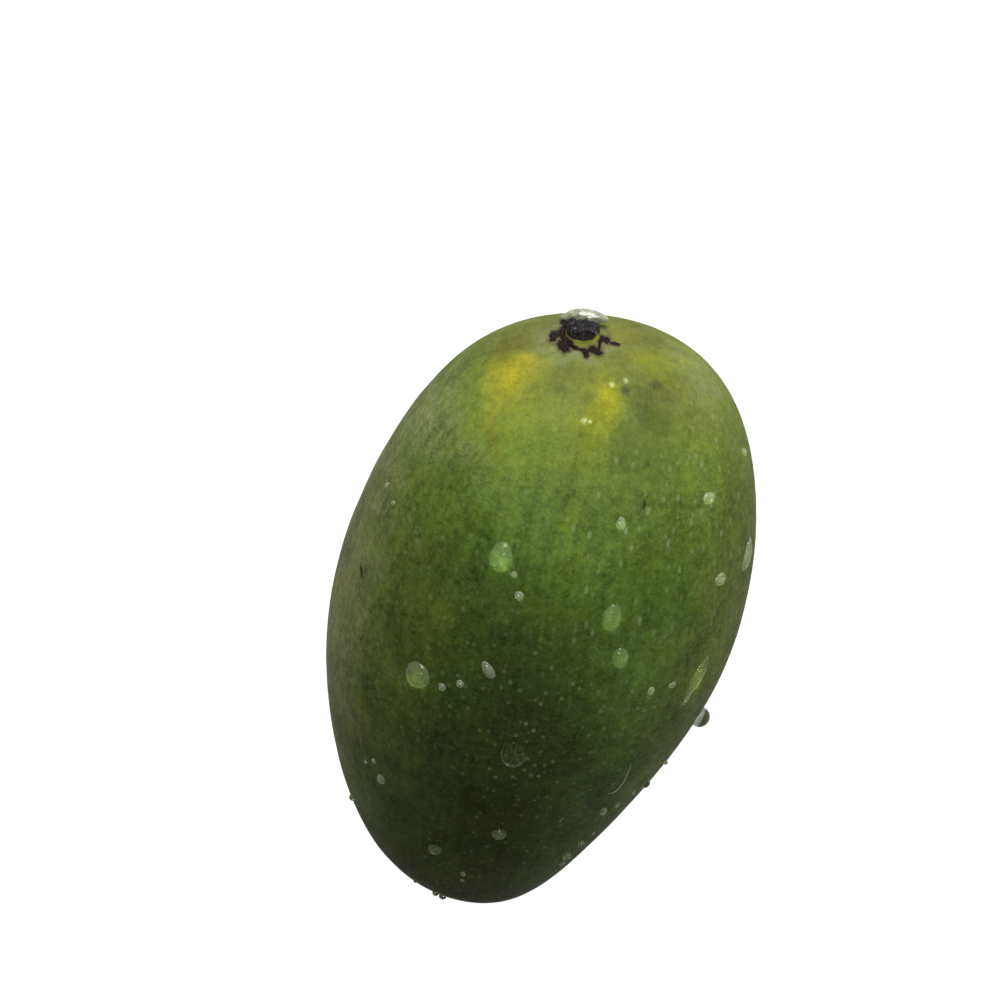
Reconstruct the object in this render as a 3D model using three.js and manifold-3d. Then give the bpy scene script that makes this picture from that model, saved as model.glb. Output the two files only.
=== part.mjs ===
// A mango as picked, lying on its flatter cheek. Millimetres, +Z up.
// The stalk end points along -Y and the apex along +Y. The origin is the middle
// of the small flat that the fruit rests on.

import * as THREE from 'three';
import { mergeVertices } from 'three/addons/utils/BufferGeometryUtils.js';
import Module from 'manifold-3d';

// Driving dimensions of the fruit.
const LENGTH = 128;
const WIDTH = 70;
const THICKNESS = 61.6;

// How each long side runs from the stalk end (1) to the apex (-1): taper is the
// share of the width gained towards the stalk, fill rounds out the belly, and
// blunt keeps the two ends broad.
const FULL_SIDE = { taper: 0, fill: 0, blunt: 0.31 };
const TAPERED_SIDE = { taper: 0.26, fill: 0.26, blunt: 0.33 };
// Both ends curl this far over towards the tapered side.
const END_CURL = 3.3;
// The thickness gains this share less towards the stalk than the width does.
const CHEEK_TAPER = 0.08;

// The fruit is pressed flat where it rests, this deep, below its middle.
const REST_FLAT_DEPTH = 0.5;
const REST_ALONG = 2.4;

// The stalk stands near the end of the long axis, in a broad shallow hollow.
const STALK_ACROSS = 2.2;
const STALK_UP = -1.8;
const HOLLOW_DEPTH = 1.4;
const HOLLOW_RADIUS = 13;
// The stalk leans this much towards the full side, and down.
const STALK_LEAN_ACROSS = 0.1;
const STALK_LEAN_DOWN = 0.06;

// The woody remnant of the stalk, as radius and height above the skin: a foot in
// the fruit, a waist above it, and a top that is broken off a little hollow.
const STUB_RADIUS = 2.5;
const STUB_OUTLINE = [
  [0, -1.2],
  [2.25, -1.2],
  [STUB_RADIUS, -0.7],
  [STUB_RADIUS, 0],
  [2.1, 1.1],
  [2.2, 2.5],
  [1.8, 3.2],
  [1.1, 2.7],
  [0, 2.7],
];
const STUB_SIDES = 16;

// The seat that the stub grows out of.
const SEAT_GAP = 0.3;
const SEAT_RADIUS = STUB_RADIUS + SEAT_GAP;
const SEAT_DEPTH = SEAT_GAP - STUB_OUTLINE[0][1];
const SEAT_REACH = 6;

// Facets: the fruit has 20 x (detail + 1)^2 triangles before it is cut.
const FRUIT_DETAIL = 15;
const MERGE_DISTANCE = 1e-4;

const HALF_LENGTH = LENGTH / 2;
const HALF_WIDTH = WIDTH / 2;
const HALF_THICKNESS = THICKNESS / 2;
const REST_HEIGHT = HALF_THICKNESS - REST_FLAT_DEPTH;
const STALK_DIRECTION = new THREE.Vector3(STALK_LEAN_ACROSS, -1, -STALK_LEAN_DOWN).normalize();

const wasm = await Module();
wasm.setup();

// One side's half-width at a place along the axis, as a share of the widest.
function sideShare(side, along) {
  return 1 + side.taper * along - side.fill * along ** 2 + side.blunt * along ** 4;
}

// How far the hollow round the stalk sinks the skin at a place near the end.
function hollowSink(across, up, along) {
  if (along < 0) return 0;
  const distance = Math.hypot(across - STALK_ACROSS, up - STALK_UP);
  return HOLLOW_DEPTH * Math.exp(-((distance / HOLLOW_RADIUS) ** 2));
}

// Where a unit direction from the fruit's middle meets its skin.
function skinPoint(direction) {
  const along = -direction.y;
  const round = Math.hypot(direction.x, direction.z);
  const across = round > 0 ? direction.x / round : 0;
  const fullShare = (1 + across) / 2;
  const share = THREE.MathUtils.lerp(sideShare(TAPERED_SIDE, along), sideShare(FULL_SIDE, along), fullShare);
  const x = HALF_WIDTH * direction.x * share - END_CURL * along ** 2;
  const z = HALF_THICKNESS * direction.z * share * (1 - CHEEK_TAPER * along);
  const y = -HALF_LENGTH * along + hollowSink(x, z, along);
  return new THREE.Vector3(x, y, z);
}

// A closed mesh as a solid that can be cut.
function solidOf(geometry) {
  const bare = geometry.clone();
  bare.deleteAttribute('normal');
  bare.deleteAttribute('uv');
  const merged = mergeVertices(bare, MERGE_DISTANCE);
  return new wasm.Manifold(new wasm.Mesh({
    numProp: 3,
    vertProperties: Float32Array.from(merged.attributes.position.array),
    triVerts: Uint32Array.from(merged.index.array),
  }));
}

// A solid back as a geometry with flat facets.
function geometryOf(solid) {
  const mesh = solid.getMesh();
  const geometry = new THREE.BufferGeometry();
  geometry.setAttribute('position', new THREE.BufferAttribute(new Float32Array(mesh.vertProperties), 3));
  geometry.setIndex(new THREE.BufferAttribute(new Uint32Array(mesh.triVerts), 1));
  geometry.computeVertexNormals();
  return geometry;
}

// The point of the skin in the middle of the hollow, under the stalk.
function skinUnderStalk() {
  const endShare = sideShare(FULL_SIDE, 1);
  const across = (STALK_ACROSS + END_CURL) / (HALF_WIDTH * endShare);
  const up = STALK_UP / (HALF_THICKNESS * endShare * (1 - CHEEK_TAPER));
  return skinPoint(new THREE.Vector3(across, -Math.sqrt(1 - across ** 2 - up ** 2), up));
}

// Stands a geometry that was made along +Y on the skin, along the stalk.
function standLikeStalk(geometry) {
  const turn = new THREE.Quaternion().setFromUnitVectors(new THREE.Vector3(0, 1, 0), STALK_DIRECTION);
  const foot = skinUnderStalk();
  return geometry.applyQuaternion(turn).translate(foot.x, foot.y, foot.z);
}

// The whole fruit before anything is cut from it.
function fruitBody() {
  const geometry = new THREE.IcosahedronGeometry(1, FRUIT_DETAIL);
  const position = geometry.attributes.position;
  const direction = new THREE.Vector3();
  for (let i = 0; i < position.count; i += 1) {
    direction.fromBufferAttribute(position, i).normalize();
    const point = skinPoint(direction);
    position.setXYZ(i, point.x, point.y, point.z);
  }
  return solidOf(geometry);
}

// Everything below the plane that the fruit rests on.
function groundBelow() {
  const box = new THREE.BoxGeometry(2 * WIDTH, 2 * LENGTH, THICKNESS);
  box.translate(0, 0, -REST_HEIGHT - HALF_THICKNESS);
  return solidOf(box);
}

// The round seat that the stalk grows out of.
function stalkSeat() {
  const seat = new THREE.CylinderGeometry(SEAT_RADIUS, SEAT_RADIUS, SEAT_REACH, STUB_SIDES);
  seat.translate(0, SEAT_REACH / 2 - SEAT_DEPTH, 0);
  return solidOf(standLikeStalk(seat));
}

function fruit() {
  const body = fruitBody().subtract(groundBelow()).subtract(stalkSeat());
  const skin = new THREE.MeshStandardMaterial({ color: 0x6a8038, roughness: 0.42, metalness: 0 });
  const mesh = new THREE.Mesh(geometryOf(body), skin);
  mesh.name = 'fruit';
  return mesh;
}

function stalkStub() {
  const outline = STUB_OUTLINE.map(([radius, height]) => new THREE.Vector2(radius, height));
  const wood = new THREE.MeshStandardMaterial({ color: 0x2c241c, roughness: 0.75, metalness: 0 });
  const mesh = new THREE.Mesh(standLikeStalk(new THREE.LatheGeometry(outline, STUB_SIDES)), wood);
  mesh.name = 'stalk_stub';
  return mesh;
}

const mango = new THREE.Group();
mango.position.set(0, REST_ALONG, REST_HEIGHT);
mango.add(fruit(), stalkStub());

export default mango;
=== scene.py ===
"""A wet green mango as picked, lying on its flatter cheek.

Metres, +Z up. The stalk end points along -Y, the apex along +Y and the full side along +X. The fixed
frame gives the fruit's sizes, and the fine surfaces here follow the same outline.
"""

import logging
import math
from collections.abc import Callable, Iterable, Sequence
from dataclasses import dataclass, field
from enum import Enum

import bpy
import numpy as np
from mathutils import Matrix, Vector, noise
from mathutils.bvhtree import BVHTree


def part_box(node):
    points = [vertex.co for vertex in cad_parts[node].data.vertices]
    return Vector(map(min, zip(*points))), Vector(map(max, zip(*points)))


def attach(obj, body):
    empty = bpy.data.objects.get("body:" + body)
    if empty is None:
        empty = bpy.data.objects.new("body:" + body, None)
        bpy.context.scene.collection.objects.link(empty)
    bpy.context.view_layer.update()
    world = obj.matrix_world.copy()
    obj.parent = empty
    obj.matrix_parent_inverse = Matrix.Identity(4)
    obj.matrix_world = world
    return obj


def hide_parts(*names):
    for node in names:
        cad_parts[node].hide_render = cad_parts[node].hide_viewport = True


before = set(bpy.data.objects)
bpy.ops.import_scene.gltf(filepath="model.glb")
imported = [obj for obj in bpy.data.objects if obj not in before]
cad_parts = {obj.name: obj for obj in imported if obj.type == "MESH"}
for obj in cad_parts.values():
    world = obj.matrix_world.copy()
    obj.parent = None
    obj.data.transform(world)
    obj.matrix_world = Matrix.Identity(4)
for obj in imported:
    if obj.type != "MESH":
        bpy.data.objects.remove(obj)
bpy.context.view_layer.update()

LOG = logging.getLogger("mango")
MM = 0.001
IMAGE_SIDE = 1000
BODY = "root"
# Painted light: per-vertex brightening of the skin under each drop, where the drop would focus light.
PAINTED_DROP_LIGHT = "painted_drop_light"
STAIN = "beside_ring"

Colour = tuple[float, float, float, float]


def rgb(red: float, green: float, blue: float) -> Colour:
    """A colour in linear light, with full alpha."""
    return (red, green, blue, 1.0)


def smooth_step(low: float, high: float, value: np.ndarray) -> np.ndarray:
    """Rises from 0 at low to 1 at high, with soft ends."""
    share = np.clip((value - low) / (high - low), 0, 1)
    return share * share * (3 - 2 * share)


def turns(spokes: int) -> np.ndarray:
    """Angles spread evenly over one turn, in radians."""
    return np.arange(spokes) * (2 * math.pi / spokes)


def square_to(axis: Vector, way: Vector) -> Vector:
    """The direction nearest to way that is square to an axis."""
    return (way - axis * way.dot(axis)).normalized()


@dataclass(frozen=True)
class Pixel:
    """A place in the photograph, counted from its upper left corner."""

    x: float
    y: float


@dataclass(frozen=True)
class Spot:
    """A place on the skin: a point, and the directions out of it, across the view and down the view."""

    point: Vector
    out: Vector
    across: Vector
    down: Vector


@dataclass(frozen=True)
class Viewpoint:
    """Where the photograph was taken from, around the fruit's middle. Angles in degrees."""

    middle: Vector
    tilt: float = 38.8
    roll: float = 12.8
    distance: float = 500 * MM
    slide_right: float = 4.9 * MM
    slide_up: float = -21.6 * MM
    focal_pixels: float = 2836
    sensor_mm: float = 36
    near: float = 20 * MM
    far: float = 20.0

    @property
    def back(self) -> Vector:
        """The direction from the fruit to the camera."""
        tilt = math.radians(self.tilt)
        return Vector((0, -math.sin(tilt), math.cos(tilt)))

    @property
    def up(self) -> Vector:
        """The direction that points up in the picture."""
        tilt, roll = math.radians(self.tilt), math.radians(self.roll)
        level_up = Vector((0, -math.cos(tilt), -math.sin(tilt)))
        level_right = Vector((-1, 0, 0))
        return level_up * math.cos(roll) - level_right * math.sin(roll)

    @property
    def right(self) -> Vector:
        """The direction that points right in the picture."""
        return self.up.cross(self.back)

    @property
    def eye(self) -> Vector:
        """Where the camera stands."""
        aside = self.right * self.slide_right + self.up * self.slide_up
        return self.middle + self.back * self.distance - aside

    def ray(self, pixel: Pixel) -> Vector:
        """The direction of the sight line through a pixel.

        Args:
            pixel: the place in the photograph.

        Returns:
            A unit vector that leaves the camera.
        """
        half = IMAGE_SIDE / 2
        aside = self.right * (pixel.x - half) + self.up * (half - pixel.y)
        return (aside - self.back * self.focal_pixels).normalized()

    def pixel(self, point: Vector) -> Pixel:
        """Where the photograph shows a point.

        Args:
            point: a point in the frame.

        Returns:
            Its place in the photograph.
        """
        half = IMAGE_SIDE / 2
        offset = point - self.eye
        scale = -self.focal_pixels / offset.dot(self.back)
        return Pixel(half + offset.dot(self.right) * scale, half - offset.dot(self.up) * scale)

    def pixel_size(self, point: Vector) -> float:
        """How wide one pixel is at a point."""
        return (self.eye - point).dot(self.back) / self.focal_pixels

    def footprint(self, pixel: Pixel, spot: Spot, least: float = 0) -> tuple[float, float]:
        """How far one pixel reaches over the skin, which it sees at a slant.

        Args:
            pixel: the place in the photograph.
            spot: the place on the skin that it shows.
            least: the smallest cosine that the slant counts with.

        Returns:
            The reach across and the reach down, in metres.
        """
        size, sight = self.pixel_size(spot.point), self.ray(pixel)
        across, down = (math.sqrt(1 - sight.dot(way) ** 2) for way in (spot.across, spot.down))
        return size / max(across, least), size / max(down, least)

    def build(self) -> bpy.types.Object:
        """Makes the camera and makes it the scene's own.

        Returns:
            The camera.
        """
        lens = bpy.data.cameras.new("photograph_view")
        lens.sensor_width = self.sensor_mm
        lens.lens = self.focal_pixels / IMAGE_SIDE * self.sensor_mm
        lens.clip_start = self.near
        lens.clip_end = self.far
        camera = bpy.data.objects.new("photograph_view", lens)
        bpy.context.scene.collection.objects.link(camera)
        turn = Matrix((self.right, self.up, self.back)).transposed()
        camera.matrix_world = Matrix.Translation(self.eye) @ turn.to_4x4()
        bpy.context.scene.camera = camera
        return camera


class Wire:
    """A shader socket that takes part in sums written as Python expressions."""

    def __init__(self, graph: "Graph", socket: bpy.types.NodeSocket) -> None:
        """Keeps the socket, and the graph that new nodes go into."""
        self.graph = graph
        self.socket = socket

    def also(self, output: str) -> "Wire":
        """Another output of the same node."""
        return Wire(self.graph, self.socket.node.outputs[output])

    def _sum(self, operation: str, first: "Wire | float", second: "Wire | float") -> "Wire":
        """A Math node on two values."""
        return self.graph.node("ShaderNodeMath", {"operation": operation}, {0: first, 1: second})

    def __add__(self, other: "Wire | float") -> "Wire":
        """This plus other."""
        return self._sum("ADD", self, other)

    def __radd__(self, other: float) -> "Wire":
        """Other plus this."""
        return self._sum("ADD", other, self)

    def __sub__(self, other: "Wire | float") -> "Wire":
        """This less other."""
        return self._sum("SUBTRACT", self, other)

    def __rsub__(self, other: float) -> "Wire":
        """Other less this."""
        return self._sum("SUBTRACT", other, self)

    def __mul__(self, other: "Wire | float") -> "Wire":
        """This times other."""
        return self._sum("MULTIPLY", self, other)

    def __rmul__(self, other: float) -> "Wire":
        """Other times this."""
        return self._sum("MULTIPLY", other, self)

    def __truediv__(self, other: "Wire | float") -> "Wire":
        """This divided by other."""
        return self._sum("DIVIDE", self, other)


Value = Wire | float | tuple | Vector


@dataclass(frozen=True)
class Grain:
    """A layer of noise: how large its features are in millimetres, its octaves and its strength."""

    size: float
    detail: float = 2
    roughness: float = 0.5
    strength: float = 1


@dataclass(frozen=True)
class Fade:
    """A soft change from start, at and beyond the value low, to end, at and beyond the value high."""

    low: float
    high: float
    start: float = 0
    end: float = 1


@dataclass(frozen=True)
class Lumps:
    """Smooth lumps on a mesh: how far they stand out, how large they are and where their noise starts."""

    strength: float
    size: float
    start: tuple[float, float, float] = (0, 0, 0)

    def at(self, place: Vector) -> float:
        """How far they stand out at a place."""
        return self.strength * noise.noise(place / self.size + Vector(self.start))


class Graph:
    """The node tree of one material or of the world."""

    def __init__(self, owner: bpy.types.Material | bpy.types.World) -> None:
        """Empties the owner's node tree.

        Args:
            owner: the material or world to write into.
        """
        owner.use_nodes = True
        self.tree = owner.node_tree
        self.tree.nodes.clear()

    def node(self, kind: str, settings: dict | None = None, sockets: dict | None = None,
             output: int | str = 0) -> Wire:
        """Adds a node.

        Args:
            kind: the node's type.
            settings: its properties, set first; stops are a ramp's (position, colour) pairs.
            sockets: a value or a wire for each socket, by name or number.
            output: which output to hand back.

        Returns:
            That output as a wire.
        """
        made = self.tree.nodes.new(kind)
        for name, setting in (settings or {}).items():
            if name == "stops":
                self._set_stops(made.color_ramp, setting)
            else:
                setattr(made, name, setting)
        for name, value in (sockets or {}).items():
            socket = made.inputs[name]
            if isinstance(value, Wire):
                self.tree.links.new(value.socket, socket)
            else:
                socket.default_value = value
        return Wire(self, made.outputs[output]) if len(made.outputs) else Wire(self, made.inputs[0])

    @staticmethod
    def _set_stops(ramp: bpy.types.ColorRamp, stops: Sequence[tuple[float, Colour]]) -> None:
        """Gives a ramp its stops.

        Args:
            ramp: the ramp to fill.
            stops: position and colour of each stop, in order.
        """
        while len(ramp.elements) < len(stops):
            ramp.elements.new(0.5)
        for element, (position, colour) in zip(ramp.elements, stops):
            element.position = position
            element.color = colour

    def place_mm(self) -> Wire:
        """Where a point of the surface is, in millimetres of the frame."""
        place = self.node("ShaderNodeTexCoord", output="Object")
        return self.vector("SCALE", place, scale=1 / MM)

    def vector(self, operation: str, first: Value, second: Value = (0, 0, 0), scale: float = 1) -> Wire:
        """A Vector Math node.

        Args:
            operation: what it does.
            first: the first vector.
            second: the second vector, where the operation has one.
            scale: the factor of a SCALE.

        Returns:
            The vector, or the number of a LENGTH, DISTANCE or DOT_PRODUCT.
        """
        number = operation in ("LENGTH", "DISTANCE", "DOT_PRODUCT")
        sockets = {0: first, "Scale": scale} if operation == "SCALE" else {0: first, 1: second}
        return self.node("ShaderNodeVectorMath", {"operation": operation}, sockets, int(number))

    def mix(self, factor: Wire | float, first: Value, second: Value, blend: str = "MIX") -> Wire:
        """Mixes two colours.

        Args:
            factor: how much of the second.
            first: the colour underneath.
            second: the colour on top.
            blend: the way that they blend.

        Returns:
            The mixed colour.
        """
        settings = {"data_type": "RGBA", "blend_type": blend, "clamp_factor": True}
        return self.node("ShaderNodeMix", settings, {0: factor, 6: first, 7: second}, 2)

    def span(self, value: Wire, fade: Fade) -> Wire:
        """Maps a value to a fade's strength.

        Args:
            value: what is mapped.
            fade: between which values the strength changes, and how.

        Returns:
            The strength.
        """
        ends = {"From Min": fade.low, "From Max": fade.high, "To Min": fade.start, "To Max": fade.end}
        return self.node("ShaderNodeMapRange", {"interpolation_type": "SMOOTHSTEP"}, {"Value": value, **ends})

    def noise(self, place: Wire, grain: Grain, output: str = "Fac") -> Wire:
        """Soft noise.

        Args:
            place: the coordinates in millimetres.
            grain: the noise's size and octaves.
            output: Fac for a number or Color for three of them.

        Returns:
            Noise around 0.5.
        """
        sockets = {
            "Vector": place,
            "Scale": 1 / grain.size,
            "Detail": grain.detail,
            "Roughness": grain.roughness,
        }
        return self.node("ShaderNodeTexNoise", {}, sockets, output)

    def swing(self, place: Wire, grain: Grain) -> Wire:
        """Noise that swings about zero, as far as the grain is strong."""
        return (self.noise(place, grain) - 0.5) * grain.strength

    def stretched(self, place: Wire, lengthwise: float) -> Wire:
        """The coordinates with the fruit's length counted less, so that what they place grows longer."""
        return self.vector("MULTIPLY", place, (1, lengthwise, 1))

    def attribute(self, name: str) -> Wire:
        """A number that the mesh holds for each vertex."""
        return self.node("ShaderNodeAttribute", {"attribute_name": name}, output="Fac")

    def cells(self, place: Wire, size: float) -> Wire:
        """How many cells away the nearest of many scattered points is. Its Color is random by cell."""
        settings = {"voronoi_dimensions": "3D", "feature": "F1"}
        return self.node("ShaderNodeTexVoronoi", settings, {"Vector": place, "Scale": 1 / size}, "Distance")

    def bump(self, height: Wire, depth: float, strength: float = 1) -> Wire:
        """A normal bent by a height.

        Args:
            height: the height, in units of depth.
            depth: how far one unit stands out, in metres.
            strength: how much of it shows.

        Returns:
            The bent normal.
        """
        return self.node("ShaderNodeBump", {}, {"Height": height, "Distance": depth, "Strength": strength})

    def principled(self, sockets: dict) -> Wire:
        """The usual shader of a surface, with a value or a wire for each socket."""
        return self.node("ShaderNodeBsdfPrincipled", {}, sockets)

    def surface(self, shader: Wire) -> None:
        """Sends a shader to the output."""
        self.node("ShaderNodeOutputMaterial", {}, {"Surface": shader})


@dataclass(frozen=True)
class Tint:
    """A patch of another colour on the skin, as wide and tall as the photograph shows it."""

    middle: Pixel
    wide: float
    tall: float
    colour: Colour
    strength: float
    lean: float = 0
    solid: float = 0.0


@dataclass(frozen=True)
class Patch:
    """A tint in its place on the skin, with half its width and height in metres."""

    tint: Tint
    spot: Spot
    half_wide: float
    half_tall: float


@dataclass(frozen=True)
class Skin:
    """Waxy green skin, yellower towards the stalk, with pale dots.

    Lengths are in millimetres. What fades along counts in shares of the way from the stalk to the apex,
    and what fades across counts in millimetres towards the full side.
    """

    along_start: float = -61
    along_reach: float = 128
    # Darker towards the apex: partly the skin's own deeper green there and partly painted shade on the half
    # turned from the light.
    stops: tuple[tuple[float, Colour], ...] = (
        (0.00, rgb(0.120, 0.130, 0.028)),
        (0.05, rgb(0.134, 0.168, 0.026)),
        (0.09, rgb(0.120, 0.172, 0.026)),
        (0.14, rgb(0.100, 0.155, 0.025)),
        (0.23, rgb(0.076, 0.128, 0.020)),
        (0.33, rgb(0.048, 0.080, 0.013)),
        (0.46, rgb(0.037, 0.060, 0.011)),
        (0.62, rgb(0.033, 0.048, 0.010)),
        (1.00, rgb(0.041, 0.051, 0.012)),
    )
    flank_green: Colour = rgb(0.080, 0.135, 0.028)
    olive: Colour = rgb(0.085, 0.115, 0.022)
    # Paler along the full side's edge: partly wax bloom and partly painted rim light and reflection.
    bloom_and_rim_light: Colour = rgb(0.185, 0.205, 0.075)
    # Painted rim light: paler along the tapered side's edge.
    painted_far_rim_light: Colour = rgb(0.150, 0.180, 0.036)
    dot_pale: Colour = rgb(0.28, 0.34, 0.17)
    speck_dark: Colour = rgb(0.020, 0.022, 0.008)
    halo_pale: Colour = rgb(0.180, 0.210, 0.100)
    lip_yellow: Colour = rgb(0.125, 0.137, 0.018)
    stain_brown: Colour = rgb(0.050, 0.034, 0.018)
    roughness: float = 0.56
    sheen_level: float = 0.07
    relief: float = 0.05 * MM
    relief_strength: float = 0.8

    warp: Grain = Grain(9, 3, 0.55)
    loose_by: float = 14
    ragged_by: float = 6
    flank_across: Fade = Fade(-4, -24, end=0.8)
    flank_along: Fade = Fade(0.18, 0.34)
    olive_across: Fade = Fade(10, 26, end=0.8)
    olive_along: Fade = Fade(0.12, 0.35)
    painted_far_rim_light_across: Fade = Fade(-20, -33, end=0.65)
    bloom_and_rim_light_across: Fade = Fade(23, 34, end=0.85)

    patch_edge: Grain = Grain(2.6, 4, 0.6, 1.1)
    patch_reach: float = 1.4
    patch_depth: float = 2

    clouds: Grain = Grain(15, 3, 0.55, 0.9)
    blotches: Grain = Grain(4.2, 3, 0.6, 0.8)
    streaks: Grain = Grain(1.5, 3, 0.6)
    streaks_along: Fade = Fade(0.04, 0.18, 0.2, 0.9)
    streak_squeeze: float = 0.14
    core: float = 30
    grit: Grain = Grain(1.2, 2, 0.6, 1.1)
    dust: Grain = Grain(0.45, 2, 0.6, 1.1)
    fine_along: Fade = Fade(0.02, 0.16, 0.5)
    yellowing: Grain = Grain(7, 3, 0.6)
    yellowing_share: Fade = Fade(0.48, 0.68)
    yellowing_tint: Colour = rgb(1.08, 1.03, 0.85)

    long_cell: float = 1.4
    long_squeeze: float = 0.4
    long_strength: float = 1.2
    long_along: Fade = Fade(0.42, 0.24)
    long_across: Fade = Fade(8, -8)
    round_cell: float = 1.45
    round_squeeze: float = 0.8
    round_strength: float = 0.85
    round_loss: float = 0.7
    grain_cell: float = 0.9
    grain_strength: float = 0.3
    crowding: Grain = Grain(11, 2)
    crowding_share: Fade = Fade(0.35, 0.6, 0.55)
    dots_across: Fade = Fade(14, -12, 0.45)
    dots_along: Fade = Fade(-0.02, 0.16, 0.2)
    dot_edge: Fade = Fade(0.25, 0)
    dot_growth: float = 0.14
    dot_least: float = 0.2
    dot_gain: float = 0.6
    dot_strength: float = 0.6
    dot_dullness: float = 0.08
    dot_height: float = 0.6

    speck_cell: float = 6.5
    speck_shift: tuple[float, float, float] = (3, 5, 2)
    speck_edge: Fade = Fade(0.055, 0.025, end=0.8)
    speck_chance: Fade = Fade(0.55, 0.7)

    pores: Grain = Grain(0.5, 3, 0.6, 0.5)
    dimples: Grain = Grain(1.6, 2, 0.5, 0.8)
    waxiness: Grain = Grain(3.5, 2, 0.5, 0.22)

    uneven: Grain = Grain(2.2, 3, 0.6)
    halo_shift: tuple[float, float, float] = (1.6, 0, 2.0)
    halo_reach: Fade = Fade(8.5, 4.5, end=0.65)
    halo_share: Fade = Fade(0.35, 0.6)
    stain_reach: Fade = Fade(6.0, 4.0, end=0.7)
    stain_share: Fade = Fade(0.42, 0.62)
    beside_strength: float = 0.85
    lip_beyond: float = 0.45
    lip_edge: float = 0.3
    lip_wander: float = 0.8
    lip_least: float = 0.7
    lip_gain: float = 0.6

    def build(self, patches: Iterable[Patch], fruit: "Fruit") -> bpy.types.Material:
        """Makes the material.

        Args:
            patches: the patches of other colours.
            fruit: the fruit, which knows where the stalk stands.

        Returns:
            The material.
        """
        made = bpy.data.materials.new("mango_skin")
        graph = Graph(made)
        place = graph.place_mm()
        warp = graph.vector("SUBTRACT", graph.noise(place, self.warp, "Color"), (0.5, 0.5, 0.5))
        loose = graph.vector("ADD", place, graph.vector("SCALE", warp, scale=self.loose_by))
        ragged = graph.vector("ADD", place, graph.vector("SCALE", warp, scale=self.ragged_by))
        parts = graph.node("ShaderNodeSeparateXYZ", {}, {0: loose}, "Y")
        share = (parts - self.along_start) / self.along_reach
        across = parts.also("X")
        colour = self._ground(graph, share, across)
        edge = graph.swing(place, self.patch_edge)
        for patch in patches:
            colour = self._patch(graph, ragged, edge, patch, colour)
        colour = self._mottle(graph, place, share, colour)
        dots = self._dots(graph, place, share, across)
        colour = graph.mix(dots, colour, graph.mix(self.dot_strength, colour, self.dot_pale))
        colour = graph.mix(self._specks(graph, place), colour, self.speck_dark)
        # Painted light: the skin's colour is made brighter under each drop's lower part, where the drop would
        # focus light.
        colour = graph.vector("SCALE", colour, scale=1 + graph.attribute(PAINTED_DROP_LIGHT))
        colour = self._stalk_end(graph, place, ragged, fruit, colour)
        pores = graph.noise(place, self.pores) * self.pores.strength
        dimples = graph.noise(place, self.dimples) * self.dimples.strength
        height = dots * self.dot_height + pores + dimples
        graph.surface(graph.principled({
            "Base Color": colour,
            "Roughness": self.roughness + graph.swing(place, self.waxiness) + dots * self.dot_dullness,
            "Specular IOR Level": self.sheen_level,
            "Normal": graph.bump(height, self.relief, self.relief_strength),
        }))
        return made

    def _ground(self, graph: Graph, share: Wire, across: Wire) -> Wire:
        """The skin's colour from the stalk to the apex and round its sides: partly painted shade towards the
        apex, painted rim light along the tapered side's edge, and wax bloom with painted rim light along the
        full side's edge.

        Args:
            graph: the material's nodes.
            share: how far from the stalk end to the apex.
            across: how far towards the full side.

        Returns:
            The colour.
        """
        colour = graph.node("ShaderNodeValToRGB", {"stops": self.stops}, {0: share}, "Color")
        flank = graph.span(across, self.flank_across) * graph.span(share, self.flank_along)
        colour = graph.mix(flank, colour, self.flank_green)
        full = graph.span(across, self.olive_across) * graph.span(share, self.olive_along)
        colour = graph.mix(full, colour, self.olive)
        # Painted rim light along the tapered side's edge, then wax bloom with painted rim light along the
        # full side's edge.
        colour = graph.mix(graph.span(across, self.painted_far_rim_light_across), colour, self.painted_far_rim_light)
        return graph.mix(graph.span(across, self.bloom_and_rim_light_across), colour, self.bloom_and_rim_light)

    def _mottle(self, graph: Graph, place: Wire, share: Wire, colour: Wire) -> Wire:
        """Clouds, blotches and lengthwise streaks.

        Args:
            graph: the material's nodes.
            place: the place in millimetres.
            share: how far from the stalk end to the apex.
            colour: the colour so far.

        Returns:
            The mottled colour.
        """
        light = 1 + graph.swing(place, self.clouds) + graph.swing(place, self.blotches)
        centred = graph.vector("SUBTRACT", place, (0, 0, self.core))
        round_axis = graph.vector("NORMALIZE", graph.vector("MULTIPLY", centred, (1, 0, 1)))
        along = graph.vector("MULTIPLY", place, (0, self.streak_squeeze, 0))
        lengthwise = graph.vector("ADD", graph.vector("SCALE", round_axis, scale=self.core), along)
        light = light + graph.swing(lengthwise, self.streaks) * graph.span(share, self.streaks_along)
        fine = graph.swing(place, self.grit) + graph.swing(place, self.dust)
        light = light + fine * graph.span(share, self.fine_along)
        yellowed = graph.mix(1.0, colour, self.yellowing_tint, "MULTIPLY")
        yellowing = graph.span(graph.noise(place, self.yellowing), self.yellowing_share)
        return graph.vector("SCALE", graph.mix(yellowing, colour, yellowed), scale=light)

    def _patch(self, graph: Graph, ragged: Wire, edge: Wire, patch: Patch, colour: Wire) -> Wire:
        """Lays one patch of another colour on the skin.

        Args:
            graph: the material's nodes.
            ragged: the place, shifted a little so that edges wander.
            edge: how much further in a patch ends, uneven from place to place.
            patch: the patch.
            colour: the colour so far.

        Returns:
            The colour with the patch.
        """
        spot, tint = patch.spot, patch.tint
        turn = Matrix.Rotation(math.radians(tint.lean), 3, spot.out)
        axes = Matrix((turn @ spot.across, turn @ spot.down, spot.out)).transposed()
        depth = self.patch_depth * max(patch.half_wide, patch.half_tall)
        reach = graph.node("ShaderNodeMapping", {"vector_type": "TEXTURE"}, {
            "Vector": ragged,
            "Location": spot.point / MM,
            "Rotation": axes.to_euler(),
            "Scale": Vector((patch.half_wide, patch.half_tall, depth)) / MM,
        })
        inside = Fade(self.patch_reach, tint.solid, end=tint.strength)
        return graph.mix(graph.span(graph.vector("LENGTH", reach) + edge, inside), colour, tint.colour)

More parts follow.
